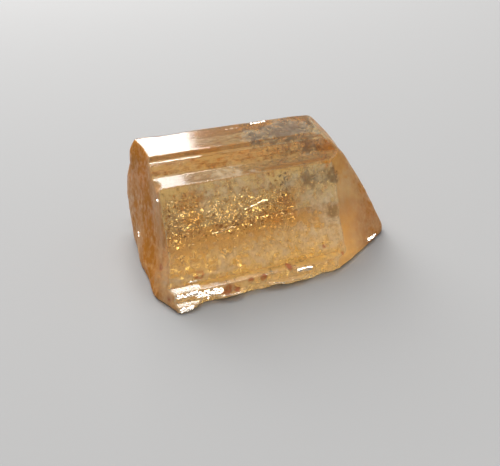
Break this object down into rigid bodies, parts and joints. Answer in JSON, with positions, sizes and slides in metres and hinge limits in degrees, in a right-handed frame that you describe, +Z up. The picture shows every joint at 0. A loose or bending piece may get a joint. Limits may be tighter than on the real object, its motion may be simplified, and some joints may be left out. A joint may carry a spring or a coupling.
{
  "type": "topaz crystal",
  "caption": "Stubby honey-orange topaz prism lying on a side face, with stepped long faces, a cleaved end, a broken end and a chipped lower edge; a see-through mineral specimen.",
  "frame": {"origin": "middle of the bounding box in plan, at the height of the resting face", "axes": "+X along the crystal's long axis towards the broken end, -Y towards the widest clean face, +Z up from the resting face"},
  "size_m": [0.0206, 0.0126, 0.009],
  "materials": {
    "topaz": "clear honey-orange crystal, glossy natural faces with fine lengthwise lines, frosted broken end"
  },
  "bodies": {
    "root": {"topaz_crystal": "topaz"}
  },
  "joints": []
}
